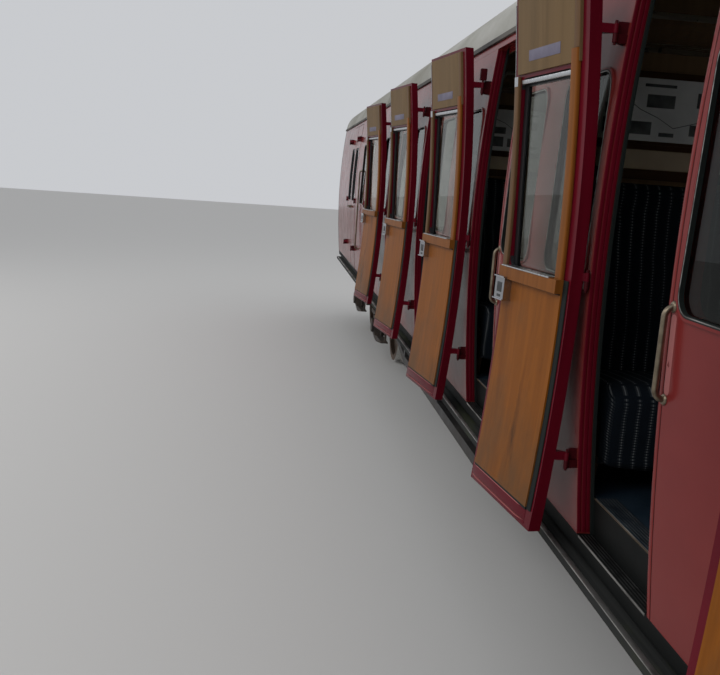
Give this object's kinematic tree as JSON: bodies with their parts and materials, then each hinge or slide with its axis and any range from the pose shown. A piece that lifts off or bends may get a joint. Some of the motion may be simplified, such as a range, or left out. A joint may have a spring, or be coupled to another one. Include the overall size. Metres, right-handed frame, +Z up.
{
  "type": "railway passenger coach",
  "caption": "Compartment railway coach with a luggage van, side doors folded open on one side, two bogies, side buffers and screw couplings.",
  "frame": {"origin": "middle of the body, on the centre line, in the plane that the wheel flanges stand on; rail level is 28 mm above it", "axes": "+X along the coach towards the compartment end, -Y the platform side whose doors are open, +Z up"},
  "size_m": [18.454, 2.9915, 3.913],
  "materials": {
    "body_paint": "gloss",
    "door_paint": "gloss",
    "window_glass": "clear",
    "roof_paint": "matt",
    "end_paint": "satin",
    "wood_panel": "varnished",
    "floor_covering": "matt",
    "seat_wood": "varnished",
    "moquette": "woven pile",
    "rack_metal": "satin",
    "lamp_glass": "gloss",
    "frame_black": "matt",
    "footboard_wood": "painted, worn",
    "buffer_steel": "worn",
    "coupling_iron": "oiled",
    "hose_rubber": "matt",
    "handle_brass": "worn",
    "hinge_paint": "gloss",
    "bogie_black": "dusty",
    "wheel_steel": "worn"
  },
  "bodies": {
    "coach": {"side_platform": "body_paint", "side_far": "body_paint", "fixed_glazing": "window_glass", "bottom_rails": "body_paint", "cantrails": "body_paint", "roof": "roof_paint", "end_compartment": "end_paint", "end_van": "end_paint", "partitions": "wood_panel", "floor": "floor_covering", "seat_frames": "seat_wood", "seat_cushions": "moquette", "seat_backs": "moquette", "luggage_racks": "rack_metal", "ceiling_lamps": "lamp_glass", "guard_fittings": "seat_wood", "roof_ventilators": "roof_paint", "underframe": "frame_black", "headstocks": "frame_black", "truss_frames": "frame_black", "footboards": "footboard_wood", "buffer_housings": "frame_black", "buffer_heads": "buffer_steel", "screw_couplings": "coupling_iron", "end_pipes": "hose_rubber", "battery_boxes": "frame_black", "brake_cylinders": "frame_black", "dynamo": "frame_black", "grab_handles": "handle_brass", "hinge_leaves": "hinge_paint"},
    "bogie_a": {"bogie_a_frame": "bogie_black", "bogie_a_bolster": "bogie_black", "bogie_a_axleboxes": "bogie_black", "bogie_a_brakes": "bogie_black"},
    "wheelset_a1": {"wheelset_a1": "wheel_steel"},
    "wheelset_a2": {"wheelset_a2": "wheel_steel"},
    "bogie_b": {"bogie_b_frame": "bogie_black", "bogie_b_bolster": "bogie_black", "bogie_b_axleboxes": "bogie_black", "bogie_b_brakes": "bogie_black"},
    "wheelset_b1": {"wheelset_b1": "wheel_steel"},
    "wheelset_b2": {"wheelset_b2": "wheel_steel"},
    "door_platform_1": {"door_platform_1": "door_paint"},
    "door_platform_2": {"door_platform_2": "door_paint"},
    "door_platform_3": {"door_platform_3": "door_paint"},
    "door_platform_4": {"door_platform_4": "door_paint"},
    "door_platform_5": {"door_platform_5": "door_paint"},
    "door_platform_6": {"door_platform_6": "door_paint"},
    "door_platform_guard": {"door_platform_guard": "door_paint"},
    "door_platform_luggage_a": {"door_platform_luggage_a": "door_paint"},
    "door_platform_luggage_b": {"door_platform_luggage_b": "door_paint"},
    "door_far_1": {"door_far_1": "door_paint"},
    "door_far_2": {"door_far_2": "door_paint"},
    "door_far_3": {"door_far_3": "door_paint"},
    "door_far_4": {"door_far_4": "door_paint"},
    "door_far_5": {"door_far_5": "door_paint"},
    "door_far_6": {"door_far_6": "door_paint"},
    "door_far_guard": {"door_far_guard": "door_paint"},
    "door_far_luggage_a": {"door_far_luggage_a": "door_paint"},
    "door_far_luggage_b": {"door_far_luggage_b": "door_paint"}
  },
  "joints": [
    {"name": "bogie_a_swivel", "type": "hinge", "parent": "coach", "child": "bogie_a", "pos_m": [6.095, 0, 1.018], "axis": [0, 0, 1], "range_deg": [-4, 4]},
    {"name": "wheelset_a1_roll", "type": "hinge", "parent": "bogie_a", "child": "wheelset_a1", "pos_m": [7.3905, 0, 0.485], "axis": [0, 1, 0], "continuous": true},
    {"name": "wheelset_a2_roll", "type": "hinge", "parent": "bogie_a", "child": "wheelset_a2", "pos_m": [4.7995, 0, 0.485], "axis": [0, 1, 0], "continuous": true},
    {"name": "bogie_b_swivel", "type": "hinge", "parent": "coach", "child": "bogie_b", "pos_m": [-6.095, 0, 1.018], "axis": [0, 0, 1], "range_deg": [-4, 4]},
    {"name": "wheelset_b1_roll", "type": "hinge", "parent": "bogie_b", "child": "wheelset_b1", "pos_m": [-4.7995, 0, 0.485], "axis": [0, 1, 0], "continuous": true},
    {"name": "wheelset_b2_roll", "type": "hinge", "parent": "bogie_b", "child": "wheelset_b2", "pos_m": [-7.3905, 0, 0.485], "axis": [0, 1, 0], "continuous": true},
    {"name": "door_platform_1_hinge", "type": "hinge", "parent": "coach", "child": "door_platform_1", "pos_m": [7.3645, -1.3835, 2.083], "axis": [0, 0, -1], "range_deg": [-172, 0]},
    {"name": "door_platform_2_hinge", "type": "hinge", "parent": "coach", "child": "door_platform_2", "pos_m": [5.4595, -1.3835, 2.083], "axis": [0, 0, -1], "range_deg": [-172, 0]},
    {"name": "door_platform_3_hinge", "type": "hinge", "parent": "coach", "child": "door_platform_3", "pos_m": [3.5545, -1.3835, 2.083], "axis": [0, 0, -1], "range_deg": [-172, 0]},
    {"name": "door_platform_4_hinge", "type": "hinge", "parent": "coach", "child": "door_platform_4", "pos_m": [1.6495, -1.3835, 2.083], "axis": [0, 0, -1], "range_deg": [-172, 0]},
    {"name": "door_platform_5_hinge", "type": "hinge", "parent": "coach", "child": "door_platform_5", "pos_m": [-0.2555, -1.3835, 2.083], "axis": [0, 0, -1], "range_deg": [-172, 0]},
    {"name": "door_platform_6_hinge", "type": "hinge", "parent": "coach", "child": "door_platform_6", "pos_m": [-2.1605, -1.3835, 2.083], "axis": [0, 0, -1], "range_deg": [-172, 0]},
    {"name": "door_platform_guard_hinge", "type": "hinge", "parent": "coach", "child": "door_platform_guard", "pos_m": [-4.26, -1.3835, 2.083], "axis": [0, 0, -1], "range_deg": [0, 172]},
    {"name": "door_platform_luggage_a_hinge", "type": "hinge", "parent": "coach", "child": "door_platform_luggage_a", "pos_m": [-6.86, -1.3835, 2.083], "axis": [0, 0, -1], "range_deg": [0, 172]},
    {"name": "door_platform_luggage_b_hinge", "type": "hinge", "parent": "coach", "child": "door_platform_luggage_b", "pos_m": [-5.64, -1.3835, 2.083], "axis": [0, 0, 1], "range_deg": [0, 172]},
    {"name": "door_far_1_hinge", "type": "hinge", "parent": "coach", "child": "door_far_1", "pos_m": [7.9845, 1.3835, 2.083], "axis": [0, 0, -1], "range_deg": [0, 172]},
    {"name": "door_far_2_hinge", "type": "hinge", "parent": "coach", "child": "door_far_2", "pos_m": [6.0795, 1.3835, 2.083], "axis": [0, 0, -1], "range_deg": [0, 172]},
    {"name": "door_far_3_hinge", "type": "hinge", "parent": "coach", "child": "door_far_3", "pos_m": [4.1745, 1.3835, 2.083], "axis": [0, 0, -1], "range_deg": [0, 172]},
    {"name": "door_far_4_hinge", "type": "hinge", "parent": "coach", "child": "door_far_4", "pos_m": [2.2695, 1.3835, 2.083], "axis": [0, 0, -1], "range_deg": [0, 172]},
    {"name": "door_far_5_hinge", "type": "hinge", "parent": "coach", "child": "door_far_5", "pos_m": [0.3645, 1.3835, 2.083], "axis": [0, 0, -1], "range_deg": [0, 172]},
    {"name": "door_far_6_hinge", "type": "hinge", "parent": "coach", "child": "door_far_6", "pos_m": [-1.5405, 1.3835, 2.083], "axis": [0, 0, -1], "range_deg": [0, 172]},
    {"name": "door_far_guard_hinge", "type": "hinge", "parent": "coach", "child": "door_far_guard", "pos_m": [-3.64, 1.3835, 2.083], "axis": [0, 0, -1], "range_deg": [0, 172]},
    {"name": "door_far_luggage_a_hinge", "type": "hinge", "parent": "coach", "child": "door_far_luggage_a", "pos_m": [-5.64, 1.3835, 2.083], "axis": [0, 0, -1], "range_deg": [0, 172]},
    {"name": "door_far_luggage_b_hinge", "type": "hinge", "parent": "coach", "child": "door_far_luggage_b", "pos_m": [-6.86, 1.3835, 2.083], "axis": [0, 0, 1], "range_deg": [0, 172]}
  ]
}
